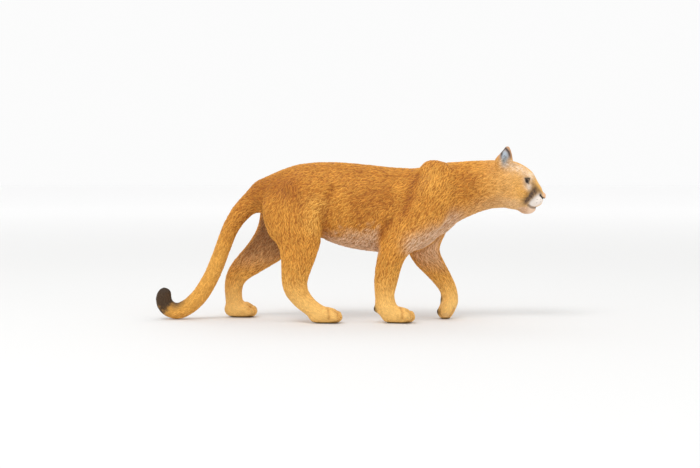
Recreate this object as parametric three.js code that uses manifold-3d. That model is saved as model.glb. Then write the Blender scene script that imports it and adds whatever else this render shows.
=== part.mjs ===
// A toy cougar of solid moulded vinyl, standing mid-stride with its tail curled on the floor.
// Millimetres, +Z up, +X towards the nose, the figure's right side at -Y. The floor is at Z = 0.
// The figure is cast in one; here it is parted by thin cuts into the pieces that a person would name.
import * as THREE from "three";
import { mergeVertices } from "three/addons/utils/BufferGeometryUtils.js";
import Module from "manifold-3d";

const wasm = await Module();
wasm.setup();

// Width of every cut between two pieces.
const GAP = 0.3;
// Half size of the blocks that cut a solid along a plane.
const BLOCK = 150;

// Each body part is a row of stations along its middle line. At every station, "deep" is half of the
// part's thickness as seen from the side, and "wide" is half of its width as seen from the front.
// "egg" above zero makes an upright section broader at its top than at its bottom.
const station = (x, y, z, deep, wide, egg = 0) => ({ x, y, z, deep, wide, egg });
// A station of the trunk, head or neck, given by its upper and lower outline.
const slice = (x, top, bottom, wide, egg = 0) =>
  station(x, 0, (top + bottom) / 2, (top - bottom) / 2, wide, egg);

// Trunk from the rump to the base of the neck: height of the back, height of the belly, half width.
const TRUNK = [
  slice(-28.5, 47.5, 35.5, 5.6, 0.05),
  slice(-24.0, 49.6, 32.6, 7.9, 0.05),
  slice(-17.5, 51.8, 30.2, 9.0, 0.03),
  slice(-11.5, 52.5, 28.2, 9.1, 0.0),
  slice(-5.5, 52.6, 25.6, 9.4, -0.03),
  slice(0.5, 52.3, 23.9, 9.9, -0.05),
  slice(8.5, 51.5, 22.8, 10.2, -0.06),
  slice(16.5, 50.7, 22.5, 9.9, -0.05),
  slice(23.0, 50.7, 23.4, 9.4, -0.02),
  slice(27.6, 51.4, 26.0, 8.7, 0.0),
  slice(29.4, 51.6, 28.2, 7.4, 0.0),
];
// Neck from inside the chest to inside the skull.
const NECK = [
  slice(24.0, 50.0, 28.5, 7.8),
  slice(29.0, 52.0, 28.6, 7.9),
  slice(33.0, 52.6, 31.2, 7.5),
  slice(38.0, 52.9, 33.8, 6.8),
  slice(43.0, 53.2, 36.0, 6.4),
  slice(48.0, 53.2, 37.3, 6.6),
  slice(51.0, 52.8, 37.4, 6.8),
];
// Skull and face without cheeks, pads or chin.
const SKULL = [
  slice(48.2, 52.8, 38.2, 6.5, 0.05),
  slice(51.0, 53.3, 37.4, 7.2, 0.06),
  slice(54.0, 53.0, 36.9, 7.3, 0.06),
  slice(57.0, 51.8, 36.4, 6.8, 0.08),
  slice(59.2, 50.4, 36.2, 5.5, 0.1),
  slice(60.8, 48.8, 36.9, 4.2, 0.05),
  slice(62.1, 46.4, 38.0, 3.2, 0.0),
  slice(63.3, 44.2, 38.8, 2.5, 0.0),
  slice(63.9, 42.6, 40.0, 1.5, 0.0),
];
// Tail from inside the rump down to the floor and up into the curled tip.
const TAIL = [
  station(-25.0, 0.0, 42.3, 4.3, 4.2),
  station(-29.9, 0.1, 41.2, 4.4, 4.0),
  station(-33.7, 0.2, 38.5, 3.65, 3.3),
  station(-37.3, 0.4, 34.6, 3.05, 2.9),
  station(-40.2, 0.7, 29.7, 2.7, 2.65),
  station(-42.9, 1.1, 22.6, 2.65, 2.6),
  station(-45.9, 1.6, 15.2, 2.7, 2.6),
  station(-50.1, 2.1, 8.1, 2.8, 2.7),
  station(-54.1, 2.5, 4.3, 2.75, 2.7),
  station(-58.3, 2.8, 2.55, 2.7, 2.7),
  station(-61.6, 2.9, 4.3, 2.8, 2.7),
  station(-62.5, 2.9, 7.0, 2.65, 2.5),
  station(-62.1, 2.9, 8.5, 2.45, 2.2),
];
// Right hind leg, seen from the camera: it stands under the hips with the hock behind the foot.
const HIND_RIGHT = [
  station(-20.6, -6.3, 43.5, 7.2, 3.7),
  station(-19.8, -7.1, 38.5, 9.3, 4.7),
  station(-18.9, -7.5, 33.5, 9.3, 4.9),
  station(-16.8, -7.9, 28.1, 7.9, 4.6),
  station(-16.9, -8.3, 22.4, 6.1, 4.0),
  station(-17.6, -8.6, 18.0, 5.1, 3.5),
  station(-18.1, -8.8, 14.6, 4.5, 3.1),
  station(-18.0, -9.0, 11.4, 4.15, 2.8),
  station(-15.9, -9.1, 8.2, 3.4, 2.6),
  station(-12.8, -9.2, 5.1, 2.9, 2.8),
  station(-10.5, -9.3, 3.6, 2.7, 3.0),
];
// Left hind leg, on the far side: it reaches back with an upright hock.
const HIND_LEFT = [
  station(-20.6, 6.3, 43.5, 7.2, 3.7),
  station(-20.8, 7.1, 38.5, 9.2, 4.7),
  station(-21.8, 7.5, 33.5, 9.0, 4.9),
  station(-24.8, 7.9, 27.4, 7.5, 4.5),
  station(-31.0, 8.4, 21.0, 5.4, 3.8),
  station(-36.3, 8.8, 16.6, 4.3, 3.1),
  station(-39.0, 9.0, 13.0, 3.5, 2.8),
  station(-39.6, 9.2, 8.9, 3.05, 2.6),
  station(-39.2, 9.3, 4.6, 2.85, 2.8),
  station(-38.2, 9.4, 2.9, 2.7, 3.0),
];
// Right foreleg, from the top of the shoulder blade to the wrist.
const FORE_RIGHT = [
  station(28.9, -4.6, 50.2, 5.9, 3.1),
  station(27.6, -6.1, 44.6, 7.6, 3.7),
  station(24.6, -6.9, 37.6, 8.2, 4.2),
  station(19.4, -7.5, 30.6, 7.0, 4.3),
  station(14.6, -8.0, 24.6, 5.0, 4.0),
  station(12.9, -8.4, 20.0, 4.4, 3.5),
  station(12.05, -8.6, 15.8, 4.15, 3.1),
  station(11.55, -8.8, 12.4, 3.85, 2.9),
  station(11.25, -8.9, 8.8, 3.3, 2.7),
  station(11.8, -9.0, 5.6, 3.4, 2.9),
  station(13.0, -9.1, 3.2, 3.0, 3.1),
];
// Left foreleg, on the far side: it swings forward and rolls onto the tips of its toes.
const FORE_LEFT = [
  station(28.4, 4.4, 47.6, 4.4, 2.7),
  station(28.2, 5.8, 42.5, 6.8, 3.6),
  station(27.6, 6.4, 36.0, 7.4, 4.1),
  station(25.2, 6.2, 29.0, 6.8, 4.1),
  station(24.9, 5.6, 22.6, 5.3, 3.8),
  station(28.4, 4.9, 17.2, 3.95, 3.1),
  station(31.8, 4.4, 12.3, 3.2, 2.7),
  station(33.5, 4.1, 8.6, 2.9, 2.6),
  station(33.4, 4.0, 5.4, 2.85, 2.9),
  station(32.0, 4.0, 2.3, 2.65, 3.3),
];
// Flat standing foot: distance ahead of its heel, thickness halves and half width.
const FOOT = [
  { ahead: 1.6, z: 2.75, deep: 2.75, wide: 2.9 },
  { ahead: 4.2, z: 2.6, deep: 2.85, wide: 3.3 },
  { ahead: 6.4, z: 2.4, deep: 2.7, wide: 3.5 },
  { ahead: 7.7, z: 2.1, deep: 2.3, wide: 3.0 },
];
// The four toes of a foot: sideways from its middle, and back from the longest toe.
const TOES = [
  { side: -2.9, back: 1.5, radius: 1.5 },
  { side: -1.05, back: 0.0, radius: 1.65 },
  { side: 1.05, back: 0.0, radius: 1.65 },
  { side: 2.9, back: 1.5, radius: 1.5 },
];
const TOE_LENGTH = 2.4;
// How far the middles of the longest toes lie past the last station of a flat foot, and above the floor.
const TOES_PAST = 1.0;
const TOE_HEIGHT = 1.95;

// Face. Sizes are half sizes along X, Y and Z.
const CHEEK = { x: 54.6, side: 3.7, z: 42.2, size: [5.2, 4.0, 5.2] };
const BROW = { x: 58.3, side: 3.0, z: 47.7, size: [2.7, 2.4, 1.9] };
const WHISKER_PAD = { x: 61.2, side: 1.7, z: 39.9, size: [2.7, 2.2, 2.2] };
const CHIN = { x: 58.8, z: 37.5, size: [3.1, 3.2, 2.2] };
const EYE = { x: 58.4, side: 4.1, z: 46.1, radius: 1.3 };
const LID = { size: [1.8, 1.7, 1.8], back: 0.35 };
const NOSE = { x: 64.15, z: 41.1, size: [0.9, 1.55, 0.9] };
const NOSTRIL = { x: 64.9, side: 0.95, z: 41.0, size: [0.5, 0.32, 0.32] };
// The closed mouth: a slanted slit above the jaw, and the cut behind the jaw.
const MOUTH = { x: 60.8, z: 37.75, slant: 0.09 };
const JAW_BACK = { x: 55.4, slant: 0.35 };

// Ear: an upright leaf with a cup let into its outer face. The left ear is pricked a little further forward.
const LEFT_EAR_FORWARD = 1.2;
const EAR = [
  station(50.6, 4.9, 50.6, 2.9, 1.6),
  station(50.8, 5.3, 52.6, 2.8, 1.55),
  station(51.1, 5.8, 54.5, 2.25, 1.25),
  station(51.4, 6.1, 56.1, 1.5, 1.0),
  station(51.5, 6.25, 57.1, 0.85, 0.75),
];
const EAR_CUP = [
  station(51.6, 7.0, 51.8, 1.8, 1.6),
  station(51.7, 7.3, 53.1, 1.95, 1.6),
  station(51.8, 7.5, 54.4, 1.5, 1.35),
  station(51.8, 7.6, 55.3, 0.75, 0.9),
];

// Dark pads: on the back of each wrist, and under the lifted left forefoot.
const WRIST_PAD_RIGHT = { x: 8.5, y: -9.0, z: 4.6, size: [0.9, 1.1, 1.2] };
const WRIST_PAD_LEFT = { x: 31.0, y: 4.1, z: 6.6, size: [0.8, 1.0, 1.1] };
const SOLE_PAD_LEFT = { x: 29.9, y: 4.0, z: 2.3, size: [0.9, 1.8, 1.1] };

// Plane cuts that part the long pieces: a place on the plane and the way it faces.
const NECK_BASE_CUT = [[34.2, 0, 42], [0.93, 0, 0.36]];
const NAPE_CUT = [[46.6, 0, 45], [0.99, 0, 0.1]];
const TAIL_CUTS = [
  [[-38.6, 0, 33.4], [-0.5, 0, -0.87]],
  [[-47.2, 0, 13.6], [-0.45, 0, -0.89]],
  [[-59.6, 0, 3.3], [-0.95, 0, 0.3]],
];
// The part of the neck that runs on inside the skull ends here.
const NECK_END = 51;

// How finely each form is meshed: rows along it, sides around it.
const TRUNK_SHAPE = { rows: 24, sides: 24, capRows: 4, upright: true };
const NECK_SHAPE = { rows: 10, sides: 22, upright: true };
const SKULL_SHAPE = { rows: 13, sides: 18, upright: true };
const LEG_SHAPE = { rows: 18, sides: 16 };
const TAIL_SHAPE = { rows: 36, sides: 12 };
const EAR_SHAPE = { rows: 6, sides: 12 };
const EAR_CUP_SHAPE = { rows: 5, sides: 10 };
const SOLE_SHAPE = { rows: 5, sides: 12 };
const TOE_SHAPE = { rows: 1, sides: 8, capRows: 2 };
const CHEEK_SIDES = 12;
const BUMP_SIDES = 10;
const SMALL_SIDES = 8;

const PAINT = {
  coat: new THREE.MeshStandardMaterial({ color: 0xd2944a, roughness: 0.62, metalness: 0 }),
  paws: new THREE.MeshStandardMaterial({ color: 0xdda357, roughness: 0.6, metalness: 0 }),
  muzzle: new THREE.MeshStandardMaterial({ color: 0xe6d3c4, roughness: 0.6, metalness: 0 }),
  dark: new THREE.MeshStandardMaterial({ color: 0x2b2723, roughness: 0.5, metalness: 0 }),
  eye: new THREE.MeshStandardMaterial({ color: 0x17120e, roughness: 0.15, metalness: 0 }),
  nose: new THREE.MeshStandardMaterial({ color: 0xc48a70, roughness: 0.45, metalness: 0 }),
  tailTip: new THREE.MeshStandardMaterial({ color: 0x4a3a2e, roughness: 0.65, metalness: 0 }),
};

// A closed three.js geometry as a solid that can be joined and cut.
function solid(geometry) {
  const bare = geometry.clone();
  bare.deleteAttribute("normal");
  bare.deleteAttribute("uv");
  const merged = mergeVertices(bare, 1e-4);
  return new wasm.Manifold(
    new wasm.Mesh({
      numProp: 3,
      vertProperties: merged.attributes.position.array,
      triVerts: new Uint32Array(merged.index.array),
    }),
  );
}

// A smooth closed form through stations, with round ends: the rows of a sphere are laid along the
// middle line, each row an oval across it. "grow" swells it all over, for cutting its socket.
function limb(stations, { rows = 24, sides = 20, capRows = 3, grow = 0, upright = false } = {}) {
  const middle = new THREE.CatmullRomCurve3(stations.map((s) => new THREE.Vector3(s.x, s.y, s.z)));
  const sizes = new THREE.CatmullRomCurve3(
    stations.map((s) => new THREE.Vector3(s.deep, s.wide, s.egg)),
  );
  const allRows = rows + 2 * capRows;
  const geometry = new THREE.SphereGeometry(1, sides, allRows);
  const places = geometry.attributes.position;
  const across = new THREE.Vector3();
  const depth = new THREE.Vector3();
  for (let row = 0; row <= allRows; row += 1) {
    const t = THREE.MathUtils.clamp((row - capRows) / rows, 0, 1);
    const along = upright ? new THREE.Vector3(1, 0, 0) : middle.getTangent(t);
    const size = sizes.getPoint(t);
    const deep = size.x + grow;
    const wide = size.y + grow;
    // Past either end the rows close like a dome as long as the smaller half size.
    const past = Math.max(capRows - row, row - capRows - rows, 0) / capRows;
    const dome = Math.sin((past * Math.PI) / 2) * Math.min(deep, wide);
    const shrink = Math.cos((past * Math.PI) / 2);
    const centre = middle.getPoint(t).addScaledVector(along, row < capRows ? -dome : dome);
    across.set(0, 1, 0).addScaledVector(along, -along.y).normalize();
    depth.crossVectors(along, across);
    for (let column = 0; column <= sides; column += 1) {
      const angle = (-column / sides) * 2 * Math.PI;
      const up = Math.sin(angle);
      const place = centre.clone();
      place.addScaledVector(across, Math.cos(angle) * wide * shrink * (1 + size.z * up));
      place.addScaledVector(depth, up * deep * shrink);
      places.setXYZ(row * (sides + 1) + column, place.x, place.y, place.z);
    }
  }
  return solid(geometry);
}

// An ellipsoid of the given half sizes.
function ellipsoid(x, y, z, [halfX, halfY, halfZ], sides = 16, grow = 0) {
  const geometry = new THREE.SphereGeometry(1, sides, Math.round(sides * 0.7));
  geometry.scale(halfX + grow, halfY + grow, halfZ + grow);
  geometry.translate(x, y, z);
  return solid(geometry);
}

const union = (pieces) => pieces.reduce((sum, piece) => sum.add(piece));

// The half space behind a plane through a point: everything on the side that its normal leaves.
function behind(point, normal) {
  const block = new THREE.BoxGeometry(2 * BLOCK, 2 * BLOCK, 2 * BLOCK);
  const place = new THREE.Object3D();
  place.position.copy(point).addScaledVector(normal, -BLOCK);
  place.quaternion.setFromUnitVectors(new THREE.Vector3(0, 0, 1), normal);
  place.updateMatrix();
  block.applyMatrix4(place.matrix);
  return solid(block);
}

// Parts a solid by a thin plane cut and returns the piece behind it and the piece ahead of it.
function part(whole, [x, y, z], [normalX, normalY, normalZ]) {
  const normal = new THREE.Vector3(normalX, normalY, normalZ).normalize();
  const point = new THREE.Vector3(x, y, z);
  const back = behind(point.clone().addScaledVector(normal, -GAP / 2), normal);
  const front = behind(point.clone().addScaledVector(normal, GAP / 2), normal);
  return [whole.intersect(back), whole.subtract(front)];
}

// What is left of a solid once loose scraps and sealed hollows are dropped.
function largest(whole) {
  return whole.decompose().reduce((best, piece) => (piece.volume() > best.volume() ? piece : best));
}

const group = new THREE.Group();

function addNode(name, whole, material) {
  const kept = largest(whole).getMesh();
  const geometry = new THREE.BufferGeometry();
  geometry.setAttribute("position", new THREE.BufferAttribute(kept.vertProperties, 3));
  geometry.setIndex(new THREE.BufferAttribute(kept.triVerts, 1));
  geometry.computeVertexNormals();
  const mesh = new THREE.Mesh(geometry, material);
  mesh.name = name;
  group.add(mesh);
}

const underFloor = behind(new THREE.Vector3(0, 0, 0), new THREE.Vector3(0, 0, 1));

// Toes are short ovals side by side, pointing along a direction in the side view.
function toes(tip, middleY, [forward, down]) {
  return union(
    TOES.map(({ side, back, radius }) => {
      const end = new THREE.Vector3(tip.x - back * forward, middleY + side, tip.z + back * down);
      const root = end.clone().add(new THREE.Vector3(-forward, 0, down).multiplyScalar(TOE_LENGTH));
      const sizes = [radius * 0.95, radius];
      return limb(
        [
          station(root.x, middleY + side * 0.85, root.z, radius, radius),
          station(end.x, end.y, end.z, ...sizes),
        ],
        TOE_SHAPE,
      );
    }),
  );
}

// A foot that stands flat, with its heel at heelX.
function flatFoot(heelX, middleY) {
  const sole = limb(
    FOOT.map(({ ahead, z, deep, wide }) => station(heelX + ahead, middleY, z, deep, wide)),
    SOLE_SHAPE,
  );
  const tipX = heelX + FOOT.at(-1).ahead + TOES_PAST;
  return sole.add(toes({ x: tipX, z: TOE_HEIGHT }, middleY, [1, 0.28]));
}

const legs = {
  hind_leg_right: {
    stations: HIND_RIGHT,
    foot: () => flatFoot(-12.6, -9.4),
    ankle: [[-13.4, 0, 5.6], [-0.8, 0, 0.6]],
    paw: "hind_paw_right",
  },
  hind_leg_left: {
    stations: HIND_LEFT,
    foot: () => flatFoot(-41.6, 9.4),
    ankle: [[-39.5, 0, 6.0], [0, 0, 1]],
    paw: "hind_paw_left",
  },
  foreleg_right: {
    stations: FORE_RIGHT,
    foot: () => flatFoot(11.2, -9.1),
    ankle: [[12.0, 0, 6.6], [-0.25, 0, 1]],
    paw: "forepaw_right",
  },
  foreleg_left: {
    stations: FORE_LEFT,
    foot: () => toes({ x: 31.4, z: 1.5 }, 4.0, [-0.25, 0.97]),
    ankle: [[33.6, 0, 8.2], [0, 0, 1]],
    paw: "forepaw_left",
  },
};

const trunkWhole = limb(TRUNK, TRUNK_SHAPE);
const neckWhole = limb(NECK, NECK_SHAPE);
const legSockets = Object.values(legs).map(({ stations }) =>
  limb(stations, { ...LEG_SHAPE, grow: GAP }),
);
const tailSocket = limb(TAIL, { ...TAIL_SHAPE, grow: GAP });
const tailWhole = [underFloor, ...legSockets].reduce(
  (left, socket) => left.subtract(socket),
  limb(TAIL, TAIL_SHAPE),
);

// Trunk and neck, cut clear of the legs and the tail, then parted at the base of the neck.
const body = [...legSockets, tailSocket].reduce(
  (left, socket) => left.subtract(socket),
  trunkWhole.add(neckWhole),
);
const [trunk, neckAndMore] = part(body, ...NECK_BASE_CUT);

// Head.
const both = (make) => union([-1, 1].map(make));
const bump = ({ x, side, z, size }, sign, sides) => ellipsoid(x, sign * side, z, size, sides);
const ball = ({ x, side, z, radius }, sign, grow = 0) =>
  ellipsoid(x, sign * side, z, [radius, radius, radius], CHEEK_SIDES, grow);
const onEar = (stations, side) =>
  stations.map((s) => ({ ...s, x: s.x + (side > 0 ? LEFT_EAR_FORWARD : 0), y: s.y * side }));
const headWhole = union([
  limb(SKULL, SKULL_SHAPE),
  both((side) => bump(CHEEK, side, CHEEK_SIDES)),
  both((side) => bump(BROW, side, BUMP_SIDES)),
  both((side) => ellipsoid(EYE.x - LID.back, side * EYE.side, EYE.z, LID.size, BUMP_SIDES)),
  both((side) => bump(WHISKER_PAD, side, BUMP_SIDES)),
  ellipsoid(CHIN.x, 0, CHIN.z, CHIN.size, CHEEK_SIDES),
  neckWhole.intersect(behind(new THREE.Vector3(NECK_END, 0, 0), new THREE.Vector3(1, 0, 0))),
]);
const headSockets = union([
  both((side) => limb(onEar(EAR, side), { ...EAR_SHAPE, grow: GAP })),
  both((side) => ball(EYE, side, GAP)),
  ellipsoid(NOSE.x, 0, NOSE.z, NOSE.size, CHEEK_SIDES, GAP),
]);
const [, headAndJaw] = part(headWhole, ...NAPE_CUT);
const mouthNormal = new THREE.Vector3(MOUTH.slant, 0, 1).normalize();
const jawNormal = new THREE.Vector3(-1, 0, JAW_BACK.slant).normalize();
const jawRegion = (clear) =>
  behind(new THREE.Vector3(MOUTH.x, 0, MOUTH.z).addScaledVector(mouthNormal, clear), mouthNormal)
    .intersect(
      behind(new THREE.Vector3(JAW_BACK.x, 0, MOUTH.z).addScaledVector(jawNormal, clear), jawNormal),
    );
const head = headAndJaw.subtract(headSockets).subtract(jawRegion(GAP / 2));
const jaw = headAndJaw.intersect(jawRegion(-GAP / 2));
const [neck] = part(neckAndMore, ...NAPE_CUT);

addNode("torso", trunk, PAINT.coat);
addNode("neck", neck, PAINT.coat);
addNode("head", head, PAINT.coat);
addNode("jaw", jaw, PAINT.muzzle);
addNode(
  "nose",
  ellipsoid(NOSE.x, 0, NOSE.z, NOSE.size, CHEEK_SIDES)
    .subtract(both((side) => bump(NOSTRIL, side, SMALL_SIDES))),
  PAINT.nose,
);
for (const [name, side] of [["right", -1], ["left", 1]]) {
  const ear = limb(onEar(EAR, side), EAR_SHAPE)
    .subtract(limb(onEar(EAR_CUP, side), EAR_CUP_SHAPE));
  addNode(`ear_${name}`, ear, PAINT.coat);
  addNode(`eye_${name}`, ball(EYE, side), PAINT.eye);
}

// Tail in four lengths; the last is the dark tip.
const [tailRoot, tailRest] = part(tailWhole, ...TAIL_CUTS[0]);
const [tailMiddle, tailLower] = part(tailRest, ...TAIL_CUTS[1]);
const [tailEnd, tailTip] = part(tailLower, ...TAIL_CUTS[2]);
addNode("tail_root", tailRoot, PAINT.coat);
addNode("tail_middle", tailMiddle, PAINT.coat);
addNode("tail_end", tailEnd, PAINT.coat);
addNode("tail_tip", tailTip, PAINT.tailTip);

// Legs and feet.
const pads = {
  wrist_pad_right: WRIST_PAD_RIGHT,
  wrist_pad_left: WRIST_PAD_LEFT,
  sole_pad_left: SOLE_PAD_LEFT,
};
const padSockets = Object.values(pads).map((p) => ellipsoid(p.x, p.y, p.z, p.size, BUMP_SIDES, GAP));
for (const [name, { stations, foot, ankle, paw }] of Object.entries(legs)) {
  const whole = padSockets.reduce(
    (left, socket) => left.subtract(socket),
    limb(stations, LEG_SHAPE).add(foot()).subtract(underFloor),
  );
  const [lower, upper] = part(whole, ...ankle);
  addNode(name, upper, PAINT.coat);
  addNode(paw, lower, PAINT.paws);
}
for (const [name, p] of Object.entries(pads)) {
  addNode(name, ellipsoid(p.x, p.y, p.z, p.size, BUMP_SIDES), PAINT.dark);
}

export default group;
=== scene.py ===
# %% [markdown]
# # A hand-painted toy cougar
# The thing in the photo is a moulded vinyl toy, and we take it to be 130 mm long. Its fur is moulded as
# short strokes, and it is painted by hand: a golden tan coat, a darker wash in the hollows, a pale belly
# and muzzle, a dark tail tip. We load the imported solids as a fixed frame, and then dress them with one
# continuous painted skin and two eyes.

# %% Load the frame
import math

import bmesh
import bpy
import numpy as np
from mathutils import Matrix, Vector
from mathutils.bvhtree import BVHTree
from mathutils.kdtree import KDTree


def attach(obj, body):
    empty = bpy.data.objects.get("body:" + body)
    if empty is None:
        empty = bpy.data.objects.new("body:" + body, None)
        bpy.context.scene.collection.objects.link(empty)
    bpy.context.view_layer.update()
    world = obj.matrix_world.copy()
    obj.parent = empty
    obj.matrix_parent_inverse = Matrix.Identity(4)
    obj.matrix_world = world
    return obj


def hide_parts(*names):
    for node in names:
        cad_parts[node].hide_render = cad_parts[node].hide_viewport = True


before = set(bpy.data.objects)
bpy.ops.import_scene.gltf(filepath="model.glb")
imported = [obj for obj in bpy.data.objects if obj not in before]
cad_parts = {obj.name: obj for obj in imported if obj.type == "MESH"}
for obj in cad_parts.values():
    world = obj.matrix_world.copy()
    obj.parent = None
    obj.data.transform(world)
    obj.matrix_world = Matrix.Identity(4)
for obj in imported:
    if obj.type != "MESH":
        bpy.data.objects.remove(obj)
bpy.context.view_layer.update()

MM = 0.001

# %% [markdown]
# ## The camera
# The photo is taken square to the figure's right side, from a little above the floor, so that the far feet
# stand slightly higher in the picture than the near ones. A long lens half a metre away gives that mild
# perspective.

# %% Camera at the photo's place
PHOTO_WIDTH, PHOTO_HEIGHT = 700, 468
CAMERA_AT = Vector((0.0, -0.480, 0.052))
CAMERA_AIM = Vector((0.0, 0.0, 0.0287))
SEEN_WIDTH = 0.2327
SENSOR_MM = 36.0

scene = bpy.context.scene
sight = CAMERA_AIM - CAMERA_AT
camera_data = bpy.data.cameras.new("camera")
camera_data.sensor_width = SENSOR_MM
camera_data.lens = SENSOR_MM * sight.length / SEEN_WIDTH
camera_data.clip_start = 0.01
camera = bpy.data.objects.new("camera", camera_data)
camera.location = CAMERA_AT
camera.rotation_euler = sight.to_track_quat("-Z", "Y").to_euler()
scene.collection.objects.link(camera)
scene.camera = camera
print("lens, mm:", round(camera_data.lens, 1))

# %% [markdown]
# ## One skin from many solids
# The solids are parted by thin cuts, but the casting has no seams. We join copies of them, swell them until
# the cuts close, and remesh the lot by voxels into one even skin of small squares. Later the skin is drawn
# back by most of what it was swollen. The eyes stay out, as they are painted with gloss and keep their own
# pieces.

# %% Join, swell and remesh
EYES = ["eye_right", "eye_left"]
FLESH = [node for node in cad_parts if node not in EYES]
SWELL = 0.22
VOXEL = 0.45


def new_object(name, mesh):
    piece = bpy.data.objects.new(name, mesh)
    scene.collection.objects.link(piece)
    return piece


def apply_modifiers(piece):
    bpy.context.view_layer.update()
    done = bpy.data.meshes.new_from_object(piece.evaluated_get(bpy.context.evaluated_depsgraph_get()))
    piece.modifiers.clear()
    old, piece.data = piece.data, done
    bpy.data.meshes.remove(old)


def swollen_copy(node):
    """A copy of one solid, with its doubled points merged, swollen along its normals."""
    copy = bmesh.new()
    copy.from_mesh(bpy.data.objects[node].data)
    bmesh.ops.remove_doubles(copy, verts=copy.verts, dist=1e-6)
    copy.normal_update()
    for vertex in copy.verts:
        vertex.co += vertex.normal * SWELL * MM
    return copy


whole = bmesh.new()
for node in FLESH:
    copy = swollen_copy(node)
    passing = bpy.data.meshes.new("passing")
    copy.to_mesh(passing)
    whole.from_mesh(passing)
    copy.free()
    bpy.data.meshes.remove(passing)
skin_mesh = bpy.data.meshes.new("skin")
whole.to_mesh(skin_mesh)
whole.free()
skin = new_object("skin", skin_mesh)
remesh = skin.modifiers.new("remesh", "REMESH")
remesh.mode = "VOXEL"
remesh.voxel_size = VOXEL * MM
remesh.use_smooth_shade = True
apply_modifiers(skin)
print("skin squares:", len(skin.data.polygons))

# %% [markdown]
# The head holds the finest detail of all: an eye rim or the line of the mouth is half a millimetre wide.
# Its squares are each cut in four, and the rest of the skin stays as it is.

# %% Finer squares on the head
FACE_FROM = 53.0
EAR_FROM, EAR_ABOVE = 46.0, 51.5

finer = bmesh.new()
finer.from_mesh(skin.data)
fine_points = {
    vertex
    for vertex in finer.verts
    if vertex.co.x > FACE_FROM * MM or (vertex.co.x > EAR_FROM * MM and vertex.co.z > EAR_ABOVE * MM)
}
fine_edges = [edge for edge in finer.edges if fine_points.issuperset(edge.verts)]
bmesh.ops.subdivide_edges(finer, edges=fine_edges, cuts=1, use_grid_fill=True)
finer.to_mesh(skin.data)
finer.free()
triangle_count = len(skin.data.loops) - 2 * len(skin.data.polygons)
print("skin faces:", len(skin.data.polygons), "triangles:", triangle_count)

# %% [markdown]
# ## Working on thousands of points at once
# A sculptor pushes clay with a thumb. Here each push is a formula that moves every point near a place along
# its normal. NumPy does this for all points in one step, so we keep the skin's points in one array, in
# millimetres.

# %% Points, normals and smoothing
def read_points(mesh):
    flat = np.empty(len(mesh.vertices) * 3, dtype=np.float32)
    mesh.vertices.foreach_get("co", flat)
    return flat.reshape(-1, 3).astype(float) / MM


def write_points(mesh, points):
    mesh.vertices.foreach_set("co", (points * MM).astype(np.float32).ravel())
    mesh.update()


def read_normals(mesh):
    flat = np.empty(len(mesh.vertices) * 3, dtype=np.float32)
    mesh.vertex_normals.foreach_get("vector", flat)
    return flat.reshape(-1, 3).astype(float)


def read_edges(mesh):
    flat = np.empty(len(mesh.edges) * 2, dtype=np.int32)
    mesh.edges.foreach_get("vertices", flat)
    return flat.reshape(-1, 2)


edges = read_edges(skin.data)
points = read_points(skin.data)
neighbours = np.bincount(edges.ravel(), minlength=len(points))


def relaxed(values, rounds, strength=0.5):
    """Every point's value drawn towards the mean of its neighbours' values, over and over."""
    values = np.array(values, dtype=float)
    flat = values.reshape(len(values), -1)
    strength = np.broadcast_to(np.asarray(strength, dtype=float), (len(values),))
    for _ in range(rounds):
        for column in range(flat.shape[1]):
            sums = np.bincount(edges[:, 0], flat[edges[:, 1], column], len(flat))
            sums += np.bincount(edges[:, 1], flat[edges[:, 0], column], len(flat))
            flat[:, column] += strength * (sums / neighbours - flat[:, column])
    return flat.reshape(values.shape)


def smoothstep(low, high, value):
    t = np.clip((value - low) / (high - low), 0.0, 1.0)
    return t * t * (3 - 2 * t)


print("skin points:", len(points))

# %% [markdown]
# ## Lines through the body
# The tail and the legs are long shapes, and both the lie of the fur and the paint follow them. A line of a
# few points runs down the middle of each, and from it every skin point learns how near the line is, how far
# along it lies, and which way the line runs there.

# %% Lines of the body
TRUNK_LINE = [(64, 0, 42), (57, 0, 45), (46, 0, 45.5), (34, 0, 42),
              (20, 0, 38), (0, 0, 39), (-18, 0, 41), (-27, 0, 42)]
TAIL_LINE = [(-27, 0, 42), (-34, 0.2, 38.4), (-40.2, 0.7, 29.7), (-42.9, 1.1, 22.6), (-45.9, 1.6, 15.2),
             (-50.1, 2.1, 8.1), (-54.1, 2.5, 4.3), (-58.3, 2.8, 2.6), (-61.6, 2.9, 4.3), (-62.2, 2.9, 9.5)]
HIND_RIGHT_LINE = [(-20, -7, 42), (-18.9, -7.5, 33), (-16.9, -8, 24),
                   (-18.1, -9, 13), (-12.8, -9.2, 5), (-3, -9.4, 2)]
HIND_LEFT_LINE = [(-20, 7, 42), (-22, 7.5, 33), (-31, 8.4, 21),
                  (-39.3, 9, 13), (-39.5, 9.3, 4.6), (-31, 9.4, 2)]
FORE_RIGHT_LINE = [(28, -6, 48), (25, -7, 38), (15, -8, 25), (12, -8.6, 14), (11.8, -9, 5.6), (21, -9.1, 2)]
FORE_LEFT_LINE = [(28, 6, 46), (27, 6.2, 33), (25, 5.6, 22.6), (31.8, 4.4, 12.3), (33.5, 4, 6), (31, 4, 1)]
LEG_LINES = [HIND_RIGHT_LINE, HIND_LEFT_LINE, FORE_RIGHT_LINE, FORE_LEFT_LINE]


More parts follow.
